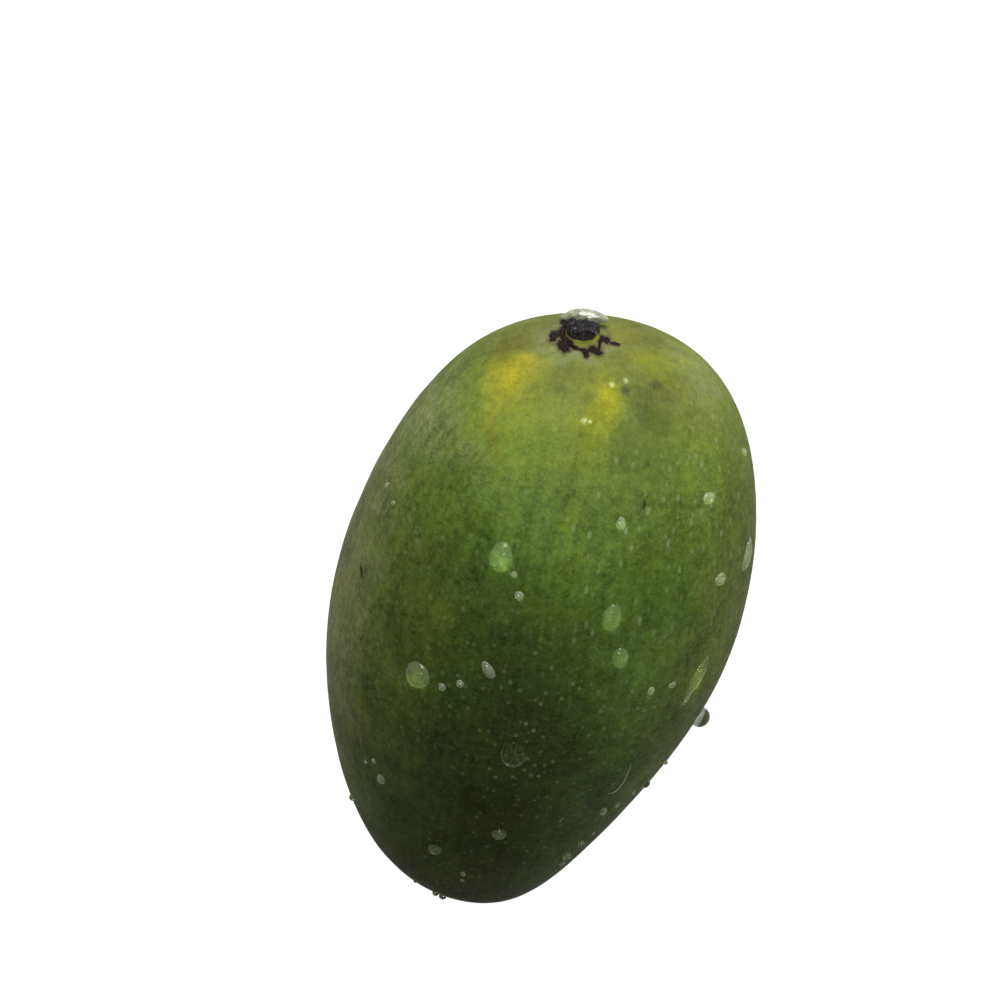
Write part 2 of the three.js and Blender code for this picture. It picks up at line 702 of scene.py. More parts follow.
    def _dots(self, graph: Graph, place: Wire, share: Wire, across: Wire) -> Wire:
        """The pale dots: lengthwise ones towards the stalk on the tapered side, and round ones.

        Args:
            graph: the material's nodes.
            place: the place in millimetres.
            share: how far from the stalk end to the apex.
            across: how far towards the full side.

        Returns:
            How much of a dot there is.
        """
        long_ones = self._scatter(graph, graph.stretched(place, self.long_squeeze), self.long_cell)
        round_ones = self._scatter(graph, graph.stretched(place, self.round_squeeze), self.round_cell)
        grains = self._scatter(graph, place, self.grain_cell)
        lengthwise = graph.span(share, self.long_along) * graph.span(across, self.long_across)
        dots = long_ones * lengthwise * self.long_strength + grains * self.grain_strength
        dots = dots + round_ones * (self.round_strength - lengthwise * self.round_loss)
        crowds = graph.span(graph.noise(place, self.crowding), self.crowding_share)
        return dots * crowds * graph.span(across, self.dots_across) * graph.span(share, self.dots_along)

    def _scatter(self, graph: Graph, place: Wire, size: float) -> Wire:
        """Soft dots of random size and strength.

        Args:
            graph: the material's nodes.
            place: the coordinates.
            size: how far apart they are.

        Returns:
            How much of a dot there is.
        """
        cells = graph.cells(place, size)
        luck = graph.node("ShaderNodeSeparateColor", {}, {0: cells.also("Color")}, "Red")
        dot = graph.span(cells - luck * self.dot_growth, self.dot_edge)
        return dot * (self.dot_least + luck * self.dot_gain)

    def _specks(self, graph: Graph, place: Wire) -> Wire:
        """Small dark specks, few and scattered.

        Args:
            graph: the material's nodes.
            place: the place in millimetres.

        Returns:
            How much of a speck there is.
        """
        cells = graph.cells(graph.vector("ADD", place, self.speck_shift), self.speck_cell)
        chance = graph.node("ShaderNodeSeparateColor", {}, {0: cells.also("Color")}, "Green")
        return graph.span(cells, self.speck_edge) * graph.span(chance, self.speck_chance)

    def _stalk_end(self, graph: Graph, place: Wire, ragged: Wire, fruit: "Fruit", colour: Wire) -> Wire:
        """The pale halo, the stains and the yellow lip round the stalk.

        Args:
            graph: the material's nodes.
            place: the place in millimetres.
            ragged: the place, shifted a little.
            fruit: the fruit, which knows where the stalk stands.
            colour: the colour so far.

        Returns:
            The colour with the stalk end's own.
        """
        foot = fruit.foot / MM
        far = graph.vector("DISTANCE", ragged, tuple(foot + Vector(self.halo_shift)))
        uneven = graph.noise(place, self.uneven)
        halo = graph.span(far, self.halo_reach) * graph.span(uneven, self.halo_share)
        colour = graph.mix(halo, colour, self.halo_pale)
        near = graph.vector("DISTANCE", ragged, tuple(foot))
        stain = graph.span(near, self.stain_reach) * graph.span(uneven, self.stain_share)
        colour = graph.mix(stain, colour, self.stain_brown)
        inner = graph.vector("DISTANCE", place, tuple(fruit.lip_middle / MM))
        reach = fruit.lip_radius / MM + self.lip_beyond
        edge = Fade(reach + self.lip_edge, reach - self.lip_edge)
        lip = graph.span(inner + (uneven - 0.5) * self.lip_wander, edge)
        yellow = graph.vector("SCALE", self.lip_yellow[:3], scale=self.lip_least + uneven * self.lip_gain)
        colour = graph.mix(lip, colour, yellow)
        return graph.mix(graph.attribute(STAIN) * self.beside_strength, colour, self.stain_brown)


@dataclass(frozen=True)
class DeadWood:
    """Dried plant tissue, dark and ridged. Sizes in millimetres."""

    name: str
    dark: Colour
    # Laid on the ridges' crests; on the stub this pale grey is partly paler fibres and partly painted glint.
    light: Colour
    ridges: Grain = Grain(0.6, 4, 0.65)
    crumbs: Grain = Grain(0.22, 3, 0.6, 0.5)
    pale_and_glint_share: Fade = Fade(0.58, 0.72)
    squeeze: float = 0.6
    shade_least: float = 0.6
    shade_gain: float = 0.8
    roughness: float = 0.5
    gloss: float = 0.25
    depth: float = 0.12 * MM

    def build(self) -> bpy.types.Material:
        """Makes the material.

        Returns:
            The material.
        """
        made = bpy.data.materials.new(self.name)
        graph = Graph(made)
        place = graph.place_mm()
        ridges = graph.noise(graph.stretched(place, self.squeeze), self.ridges)
        crumbs = graph.noise(place, self.crumbs)
        colour = graph.mix(graph.span(ridges, self.pale_and_glint_share), self.dark, self.light)
        graph.surface(graph.principled({
            "Base Color": graph.vector("SCALE", colour, scale=self.shade_least + crumbs * self.shade_gain),
            "Roughness": self.roughness + (crumbs - 0.5) * self.crumbs.strength,
            "Specular IOR Level": self.gloss,
            "Normal": graph.bump(ridges + crumbs * self.crumbs.strength, self.depth),
        }))
        return made


@dataclass(frozen=True)
class Sap:
    """Whitish sap, wet and a little translucent. Sizes in millimetres."""

    pale: Colour = rgb(0.34, 0.36, 0.27)
    clear: Colour = rgb(0.20, 0.22, 0.14)
    roughness: float = 0.16
    wetness: float = 0.4
    milkiness: float = 0.35
    light_reach: tuple[float, float, float] = (0.8 * MM, 0.8 * MM, 0.5 * MM)
    clots: Grain = Grain(1.1, 3, 0.6, 0.3)
    pale_share: Fade = Fade(0.38, 0.62)
    skin: Grain = Grain(0.4, 2, 0.5, 0.3)
    depth: float = 0.03 * MM

    def build(self) -> bpy.types.Material:
        """Makes the material.

        Returns:
            The material.
        """
        made = bpy.data.materials.new("whitish_sap")
        graph = Graph(made)
        place = graph.place_mm()
        clots = graph.noise(place, self.clots)
        skin = graph.noise(place, self.skin) * self.skin.strength
        graph.surface(graph.principled({
            "Base Color": graph.mix(graph.span(clots, self.pale_share), self.clear, self.pale),
            "Roughness": self.roughness + (clots - 0.5) * self.clots.strength,
            "Subsurface Weight": self.milkiness,
            "Subsurface Radius": self.light_reach,
            "Subsurface Scale": 1.0,
            "Coat Weight": self.wetness,
            "Normal": graph.bump(skin + clots, self.depth),
        }))
        return made


@dataclass(frozen=True)
class Water:
    """Water, a little misty, so that it shows pale over dark skin."""

    name: str = "clear_water"
    colour: Colour = rgb(0.97, 1.0, 0.80)
    clearness: float = 0.965
    bending: float = 1.333
    shadow_tint: Colour = rgb(0.9, 0.95, 0.88)

    def build(self) -> bpy.types.Material:
        """Makes the material.

        Returns:
            The material.
        """
        made = bpy.data.materials.new(self.name)
        graph = Graph(made)
        glass = graph.principled({
            "Base Color": self.colour,
            "Roughness": 0.0,
            "IOR": self.bending,
            "Transmission Weight": self.clearness,
        })
        through = graph.node("ShaderNodeBsdfTransparent", {}, {"Color": self.shadow_tint})
        shadow = graph.node("ShaderNodeLightPath", output="Is Shadow Ray")
        graph.surface(graph.node("ShaderNodeMixShader", {}, {0: shadow, 1: glass, 2: through}))
        return made


def new_piece(name: str, points: np.ndarray, faces: Sequence[Sequence[int]]) -> bpy.types.Object:
    """Makes a smooth mesh object.

    Args:
        name: the piece's name.
        points: one row per vertex, in metres.
        faces: the vertex numbers of each face, seen anticlockwise from outside.

    Returns:
        The object, in the scene.
    """
    mesh = bpy.data.meshes.new(name)
    mesh.from_pydata([tuple(point) for point in points], [], faces)
    mesh.shade_smooth()
    piece = bpy.data.objects.new(name, mesh)
    bpy.context.scene.collection.objects.link(piece)
    return piece


def ring_faces(points: np.ndarray, spokes: int) -> list[tuple[int, ...]]:
    """Faces of a closed surface made of rings between two poles.

    Args:
        points: the first pole, the rings one after another, and the last pole.
        spokes: how many points a ring has.

    Returns:
        The faces, pointing out.
    """
    rings = (len(points) - 2) // spokes
    last = 1 + (rings - 1) * spokes
    faces: list[tuple[int, ...]] = []
    for j in range(spokes):
        k = (j + 1) % spokes
        faces.append((0, 1 + k, 1 + j))
        for low in range(1, last, spokes):
            faces.append((low + j, low + k, low + spokes + k, low + spokes + j))
        faces.append((last + j, last + k, last + spokes))
    centre = points.mean(axis=0)
    corners = np.array([face[:3] for face in faces])
    a, b, c = (points[corners[:, i]] - centre for i in range(3))
    if np.einsum("ij,ij->", a, np.cross(b, c)) < 0:
        faces = [face[::-1] for face in faces]
    return faces


@dataclass(frozen=True)
class Side:
    """How one long side runs from the stalk end, 1, to the apex, -1."""

    taper: float
    fill: float
    blunt: float

    def share(self, along: np.ndarray) -> np.ndarray:
        """The side's half-width at a place along the axis, as a share of the widest."""
        return 1 + self.taper * along - self.fill * along**2 + self.blunt * along**4


@dataclass
class Fruit:
    """The whole fruit, grown in one piece. Its sizes come from the frame's node."""

    node: str = "fruit"
    rest_along: float = 2.4 * MM
    flat_depth: float = 0.5 * MM
    full_side: Side = Side(0, 0, 0.31)
    tapered_side: Side = Side(0.26, 0.26, 0.33)
    end_curl: float = 3.3 * MM
    cheek_taper: float = 0.08
    stalk_across: float = 2.2 * MM
    stalk_up: float = -1.8 * MM
    stalk_lean_across: float = 0.1
    stalk_lean_down: float = 0.06
    hollow_depth: float = 1.4 * MM
    hollow_radius: float = 13 * MM
    seat_radius: float = 2.3 * MM
    seat_depth: float = 1.0 * MM
    lip_shift: Vector = field(default_factory=lambda: Vector((0.45, 0, 1.35)) * MM)
    lip_radius: float = 2.75 * MM
    lip_width: float = 0.6 * MM
    lip_height: float = 0.5 * MM
    relief_reach: float = 9.2 * MM
    seat_wall: float = 0.7
    lip_start: float = 0.8
    waves: tuple[Lumps, ...] = (
        Lumps(0.22 * MM, 24 * MM), Lumps(0.07 * MM, 7 * MM), Lumps(0.022 * MM, 2.2 * MM),
    )
    spokes: int = 300
    first_ring: float = 0.02
    fine_step: float = 0.0056
    fine_until: float = 0.17
    coarse_step: float = 0.0122
    coarse_from: float = 0.5
    edge_steps: int = 12
    surface: BVHTree | None = field(default=None, repr=False)

    def __post_init__(self) -> None:
        """Reads the half sizes from the frame."""
        _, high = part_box(self.node)
        self.half_length = high.y - self.rest_along
        self.half_width = high.x
        self.half_thickness = (high.z + self.flat_depth) / 2
        self.middle = Vector((0, self.rest_along, self.half_thickness - self.flat_depth))

    @property
    def stalk_axis(self) -> Vector:
        """The direction that the stalk points in."""
        return Vector((self.stalk_lean_across, -1, -self.stalk_lean_down)).normalized()

    @property
    def stalk_ray(self) -> Vector:
        """The direction from the fruit's middle that meets the skin under the stalk."""
        end_share = float(self.full_side.share(np.array(1.0)))
        across = (self.stalk_across + self.end_curl) / (self.half_width * end_share)
        up = self.stalk_up / (self.half_thickness * end_share * (1 - self.cheek_taper))
        return Vector((across, -math.sqrt(1 - across**2 - up**2), up))

    @property
    def foot(self) -> Vector:
        """The point of the smooth skin under the stalk."""
        return Vector(self.skin(np.array([self.stalk_ray]))[0])

    @property
    def lip_middle(self) -> Vector:
        """The middle of the lip, which swells more on one side of the stalk."""
        return self.foot + self.lip_shift

    def skin(self, directions: np.ndarray) -> np.ndarray:
        """Where unit directions from the fruit's middle meet its smooth skin.

        Args:
            directions: one row per direction.

        Returns:
            One point per row, in the frame.
        """
        along = -directions[:, 1]
        around = np.hypot(directions[:, 0], directions[:, 2])
        across = np.divide(directions[:, 0], around, out=np.zeros_like(around), where=around > 0)
        full = (1 + across) / 2
        share = self.full_side.share(along) * full + self.tapered_side.share(along) * (1 - full)
        x = self.half_width * directions[:, 0] * share - self.end_curl * along**2
        z = self.half_thickness * directions[:, 2] * share * (1 - self.cheek_taper * along)
        off_stalk = np.hypot(x - self.stalk_across, z - self.stalk_up)
        sink = self.hollow_depth * np.exp(-((off_stalk / self.hollow_radius) ** 2)) * (along > 0)
        points = np.stack([x, sink - self.half_length * along, z], axis=1)
        return points + np.array(self.middle)

    def _ring_angles(self) -> list[float]:
        """The angle of each ring from the stalk, closer together near it.

        Returns:
            Angles in radians, from the stalk to the far pole.
        """
        angles = [self.first_ring]
        while angles[-1] < math.pi - 2 * self.coarse_step:
            share = float(smooth_step(self.fine_until, self.coarse_from, np.array(angles[-1])))
            angles.append(angles[-1] + self.fine_step + (self.coarse_step - self.fine_step) * share)
        return angles

    def _stalk_relief(self, points: np.ndarray) -> np.ndarray:
        """How far the skin stands out round the stalk: a seat that it grows from, and a lip.

        Args:
            points: places on the smooth skin.

        Returns:
            A height per point, in metres.
        """
        axis = np.array(self.stalk_axis)

        def off_axis(middle: Vector) -> np.ndarray:
            """How far each point is from a line along the stalk."""
            offset = points - np.array(middle)
            return np.linalg.norm(offset - np.outer(offset @ axis, axis), axis=1)

        from_stalk = off_axis(self.foot)
        from_crest = (off_axis(self.lip_middle) - self.lip_radius) / self.lip_width
        near = (from_stalk < self.relief_reach) * (points[:, 1] < 0)
        radius = self.seat_radius
        seat = -self.seat_depth * (1 - smooth_step(self.seat_wall * radius, radius, from_stalk))
        lip = self.lip_height * np.exp(-(from_crest**2))
        return (seat + lip * smooth_step(self.lip_start * radius, radius, from_stalk)) * near

    def _ripple(self, points: np.ndarray) -> np.ndarray:
        """The skin's soft unevenness.

        Args:
            points: places on the smooth skin.

        Returns:
            A height per point, in metres.
        """
        return np.array([sum(wave.at(Vector(point)) for wave in self.waves) for point in points])

    def build(self) -> bpy.types.Object:
        """Makes the fruit's fine mesh, on rings about the stalk.

        Returns:
            The fruit, which stands for the frame's node.
        """
        pole = self.stalk_ray
        side = square_to(pole, Vector((1, 0, 0)))
        other = pole.cross(side)
        angles = np.array(self._ring_angles())
        tilt, turn = (grid.ravel() for grid in np.meshgrid(angles, turns(self.spokes), indexing="ij"))
        flat = np.outer(np.cos(turn), side) + np.outer(np.sin(turn), other)
        body = np.outer(np.cos(tilt), pole) + flat * np.sin(tilt)[:, None]
        points = self.skin(np.vstack([np.array(pole), body, -np.array(pole)]))
        faces = ring_faces(points, self.spokes)
        piece = new_piece(self.node + "_skin", points, faces)
        normals = np.empty(3 * len(points))
        piece.data.vertex_normals.foreach_get("vector", normals)
        height = self._stalk_relief(points) + self._ripple(points)
        points = points + normals.reshape(-1, 3) * height[:, None]
        points[:, 2] = np.maximum(points[:, 2], 0)
        piece.data.vertices.foreach_set("co", points.ravel())
        piece.data.update()
        self.surface = BVHTree.FromPolygons(points.tolist(), faces)
        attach(piece, BODY)
        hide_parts(self.node)
        return piece

    def spot(self, view: Viewpoint, pixel: Pixel) -> Spot:
        """The place on the skin that a pixel shows, or the nearest one to its sight line.

        Args:
            view: where the photograph was taken from.
            pixel: the place in the photograph.

        Returns:
            The place on the skin.
        """
        eye, ray = view.eye, view.ray(pixel)
        point, out, _, _ = self.surface.ray_cast(eye, ray)
        if point is None:
            point = self.middle
            for _ in range(self.edge_steps):
                point, out, _, _ = self.surface.find_nearest(eye + ray * (point - eye).dot(ray))
        across = square_to(out, view.right)
        return Spot(point, out, across, across.cross(out))

    def drop_to_skin(self, place: Vector, out: Vector, reach: float = 8 * MM) -> Vector:
        """The skin straight under a place.

        Args:
            place: a point near the skin.
            out: the direction out of the skin.
            reach: how far above the skin to start looking.

        Returns:
            The point on the skin.
        """
        point, _, _, _ = self.surface.ray_cast(place + out * reach, -out, 2 * reach)
        return point or self.surface.find_nearest(place)[0]


@dataclass(frozen=True)
class Stroke:
    """A raised scrap of the dried ring, from one place in the photograph to another."""

    start: Pixel
    end: Pixel
    wide: float

    def depth(self, pixel: Pixel) -> float:
        """How deep inside the scrap a pixel is: 1 on its spine, 0 at its edge and less outside.

        Args:
            pixel: the place in the photograph.

        Returns:
            The depth as a share of half the scrap's width.
        """
        run_x, run_y = self.end.x - self.start.x, self.end.y - self.start.y
        gap_x, gap_y = pixel.x - self.start.x, pixel.y - self.start.y
        share = (gap_x * run_x + gap_y * run_y) / (run_x**2 + run_y**2)
        share = min(max(share, 0), 1)
        return 1 - math.hypot(gap_x - share * run_x, gap_y - share * run_y) / (self.wide / 2)


@dataclass(frozen=True)
class Ridges:
    """Ridges along the stub: how far they stand out, how many, where they start and how soon they change."""

    strength: float
    number: float
    start: float
    change: float

    def at(self, around: Vector, height: float) -> float:
        """How far they stand out at a place round the stub and along it."""
        along = Vector((0, 0, self.start + height / self.change))
        return self.strength * noise.noise(around * self.number + along)


@dataclass
class StalkEnd:
    """The broken stalk, the dried ring round its foot and the sap on its top. Lengths in metres."""

    fruit: Fruit
    view: Viewpoint
    node: str = "stalk_stub"
    outline: tuple[tuple[float, float], ...] = (
        (2.25, -1.2), (2.5, -0.7), (2.5, 0.0), (2.45, 0.5),
        (2.35, 0.9), (2.2, 1.3), (1.75, 1.7), (0.9, 1.8),
    )
    stub_spokes: int = 120
    steps_between: int = 8
    ridge_depth: float = 0.5 * MM
    ridges: tuple[Ridges, ...] = (
        Ridges(1, 2.1, 5, 6 * MM), Ridges(0.7, 5.3, 9, 2.5 * MM), Ridges(0.5, 9, 2, 0.8 * MM),
    )
    stub_spread: float = 0.14
    stub_shift: float = 2.6 * MM
    spread_from: float = -0.2 * MM
    spread_until: float = 0.8 * MM
    top_hollow: float = 0.15 * MM
    chip_depth: float = 0.8 * MM
    chips_from: float = 0.3 * MM
    chips: tuple[Lumps, ...] = (Lumps(1, 1.6 * MM, (3, 7, 0)), Lumps(0.6, 0.6 * MM, (1, 4, 8)))
    # The stub's pale grey streaks are partly paler fibres and partly painted glint.
    wood: DeadWood = DeadWood("dark_dried_wood", rgb(0.010, 0.008, 0.008), rgb(0.170, 0.165, 0.170))
    ring_middle: Pixel = Pixel(581, 336.5)
    ring_height: float = 0.34 * MM
    ring_reach: float = 8.0 * MM
    ring_rings: int = 100
    ring_spokes: int = 230
    ring_below: float = 0.16 * MM
    ring_sole: float = 0.7 * MM
    ring_frays: tuple[Lumps, ...] = (Lumps(0.5, 1.1 * MM), Lumps(0.45, 0.45 * MM))
    ring_crumbs: Lumps = Lumps(0.7, 0.6 * MM)
    ring_flat: float = 0.8
    stain_start: float = -1.3
    stain_full: float = 0.1
    dried: DeadWood = DeadWood("dried_scar", rgb(0.011, 0.006, 0.005), rgb(0.055, 0.028, 0.020),
                               Grain(0.8, 4, 0.65), gloss=0.08)
    strokes: tuple[Stroke, ...] = (
        Stroke(Pixel(552.5, 338), Pixel(555.5, 334), 6.5),
        Stroke(Pixel(556, 334), Pixel(562, 331), 5.5),
        Stroke(Pixel(567, 323), Pixel(563, 329), 4.5),
        Stroke(Pixel(563, 329), Pixel(563, 340), 5.5),
        Stroke(Pixel(561, 344), Pixel(565, 348), 9),
        Stroke(Pixel(566, 339), Pixel(571, 345), 5),
        Stroke(Pixel(571, 345), Pixel(577, 348.5), 3.6),
        Stroke(Pixel(577, 348.5), Pixel(585, 350.5), 3.2),
        Stroke(Pixel(585.5, 351), Pixel(586, 355), 5.5),
        Stroke(Pixel(587, 351), Pixel(593, 349), 3.5),
        Stroke(Pixel(592, 349.5), Pixel(598, 353), 7),
        Stroke(Pixel(599, 350), Pixel(600, 342), 2.6),
        Stroke(Pixel(600, 342), Pixel(602.5, 338.5), 4),
        Stroke(Pixel(602.5, 338.5), Pixel(608, 341), 5),
        Stroke(Pixel(611, 343), Pixel(619, 344.5), 2.8),
        Stroke(Pixel(562, 321.5), Pixel(566, 319), 4),
    )
    sap_along: float = 2.0 * MM
    sap_under: float = 2.6 * MM
    sap_aside: float = 0.35 * MM
    sap_half: tuple[float, float, float] = (4.0 * MM, 0.9 * MM, 1.1 * MM)
    sap_droops: tuple[float, float] = (1.2 * MM, 0.35 * MM)
    sap_root: float = 1.7
    sap_lumps: tuple[Lumps, ...] = (Lumps(0.14, 1 / 1.3), Lumps(0.04, 1 / 3.1))
    sap_rings: int = 40
    sap_spokes: int = 56

    def build(self) -> list[bpy.types.Object]:
        """Makes the stub, the ring and the sap, and dresses them.

        Returns:
            The three pieces.
        """
        return [self._stub(), self._ring(), self._sap()]

    def _stub(self) -> bpy.types.Object:
        """Makes the woody stub: a ridged, broken end.

        Returns:
            The stub, which stands for the frame's node.
        """
        knots = np.array(self.outline) * MM
        steps = np.linspace(0, len(knots) - 1, (len(knots) - 1) * self.steps_between + 1)
        radii = np.interp(steps, range(len(knots)), knots[:, 0])
        heights = np.interp(steps, range(len(knots)), knots[:, 1])
        axis = self.fruit.stalk_axis
        side = square_to(axis, Vector((0, 0, 1)))
        other = axis.cross(side)
        foot, top = self.fruit.foot, knots[:, 1].max()
        points = [foot + axis * heights[0]]
        for radius, height in zip(radii, heights):
            broken = float(smooth_step(self.chips_from, top, np.array(height)))
            share = float(smooth_step(self.spread_from, self.spread_until, np.array(height)))
            spread = 1 + self.stub_spread * share
            shift = Vector((self.stub_shift * (spread - 1), 0, 0))
            for turn in turns(self.stub_spokes):
                around = Vector((math.cos(turn), math.sin(turn), 0))
                chips = sum(layer.at(around * radius) for layer in self.chips)
                up = height + broken * self.chip_depth * chips
                out = radius + self.ridge_depth * sum(layer.at(around, height) for layer in self.ridges)
                reach = side * (around.x * out / spread) + other * (around.y * out * spread)
                points.append(foot + axis * up + reach + shift)
        points.append(foot + axis * (heights[-1] - self.top_hollow))
        points = np.array(points)
        piece = new_piece("stalk_stub_wood", points, ring_faces(points, self.stub_spokes))
        piece.data.materials.append(self.wood.build())
        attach(piece, BODY)
        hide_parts(self.node)
        return piece

    def scar(self, place: Vector) -> float:
        """How deep inside the dried ring's frayed outline a place on the skin is.

        Args:
            place: a point on the skin.

        Returns:
            The depth: 1 on a scrap's spine, 0 at its edge and less outside.
        """
        pixel = self.view.pixel(place)
        depth = max(stroke.depth(pixel) for stroke in self.strokes)
        return depth + sum(fray.at(place) for fray in self.ring_frays)

    def stain(self, skin: bpy.types.Object) -> None:
        """Marks how brown the skin is beside the dried ring.

        Args:
            skin: the fruit's fine mesh.
        """
        middle = self.fruit.foot
        share = np.zeros(len(skin.data.vertices))
        for vertex in skin.data.vertices:
            if (vertex.co - middle).length < self.ring_reach:
                depth = np.array(self.scar(vertex.co))
                share[vertex.index] = smooth_step(self.stain_start, self.stain_full, depth)
        mark = skin.data.attributes.new(STAIN, "FLOAT", "POINT")
        mark.data.foreach_set("value", share)

    def _ring_relief(self, place: Vector) -> float:
        """How far the dried ring stands above the skin.

        Args:
            place: a point on the skin.

        Returns:
            The height in metres, below zero where the ring has ended.
        """
        depth = self.scar(place)
        if depth < 0:
            return max(depth * self.ring_height, -self.ring_below)
        return self.ring_height * min(depth, self.ring_flat) * (1 + self.ring_crumbs.at(place))

    def _ring(self) -> bpy.types.Object:
        """Makes the dried ring, which comes out of the skin where its relief is above zero.

        Returns:
            The ring.
        """
        middle = self.fruit.spot(self.view, self.ring_middle)
        points = [middle.point - middle.out * self.ring_sole]
        tops = []
        for i in range(1, self.ring_rings + 1):
            for turn in turns(self.ring_spokes):
                far = self.ring_reach * i / self.ring_rings
                flat = middle.across * math.cos(turn) + middle.down * math.sin(turn)
                skin = self.fruit.drop_to_skin(middle.point + flat * far, middle.out)
                tops.append(skin + middle.out * self._ring_relief(skin))
        sole = [top - middle.out * self.ring_sole for top in tops[-self.ring_spokes:]]
        points += sole
        for i in reversed(range(self.ring_rings)):
            points += tops[i * self.ring_spokes:(i + 1) * self.ring_spokes]
        points.append(middle.point - middle.out * self.ring_below)
        points = np.array(points)
        piece = new_piece("dried_ring", points, ring_faces(points, self.ring_spokes))
        piece.data.materials.append(self.dried.build())
        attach(piece, BODY)
        return piece

    def _sap(self) -> bpy.types.Object:
        """Makes the bead of sap behind the stub's broken end, rooted in the skin.

        Returns:
            The bead.
        """
        axis = self.fruit.stalk_axis
        across = square_to(axis, Vector((1, 0, 0)))
        under = axis.cross(across)
        if under.z > 0:
            under = -under
        middle = self.fruit.foot + axis * self.sap_along + under * self.sap_under + across * self.sap_aside
        half_across, half_along, half_under = self.sap_half
        points = []
        for i in range(self.sap_rings + 1):
            tilt = math.pi * i / self.sap_rings
            spokes = 1 if i in (0, self.sap_rings) else self.sap_spokes
            for turn in turns(self.sap_spokes)[:spokes]:
                around = math.sin(tilt)
                ball = Vector((math.cos(tilt), around * math.cos(turn), around * math.sin(turn)))
                lumps = 1 + sum(layer.at(ball) for layer in self.sap_lumps)
                root = 1 + self.sap_root * (1 - ball.x**2) ** 2 if ball.y < 0 else 1
                offset = across * (ball.x * half_across) + axis * (ball.y * half_along * lumps * root)
                droop = self.sap_droops[0] if ball.x > 0 else self.sap_droops[1]
                offset += under * (ball.z * half_under * lumps) - axis * (droop * ball.x**2)
                points.append(middle + offset)
        points = np.array(points)
        piece = new_piece("sap_bead", points, ring_faces(points, self.sap_spokes))
        piece.data.materials.append(Sap().build())
        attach(piece, BODY)
        return piece


class Form(Enum):
    """The forms that water takes on the skin."""

    ROUND = "round"
    EGG = "egg"
    TEAR = "tear"
    FILM = "film"
    BEAD = "bead"


@dataclass(frozen=True)
class Drop:
    """One drop, as wide and tall as the photograph shows it, leaning clockwise by degrees."""

    middle: Pixel
    wide: float
    tall: float
    form: Form = Form.ROUND
    lean: float = 0


@dataclass(frozen=True)
class Rim:
    """The raised edge of a film of water: a thin thread along places in the photograph."""

    path: tuple[Pixel, ...]
    wide: float


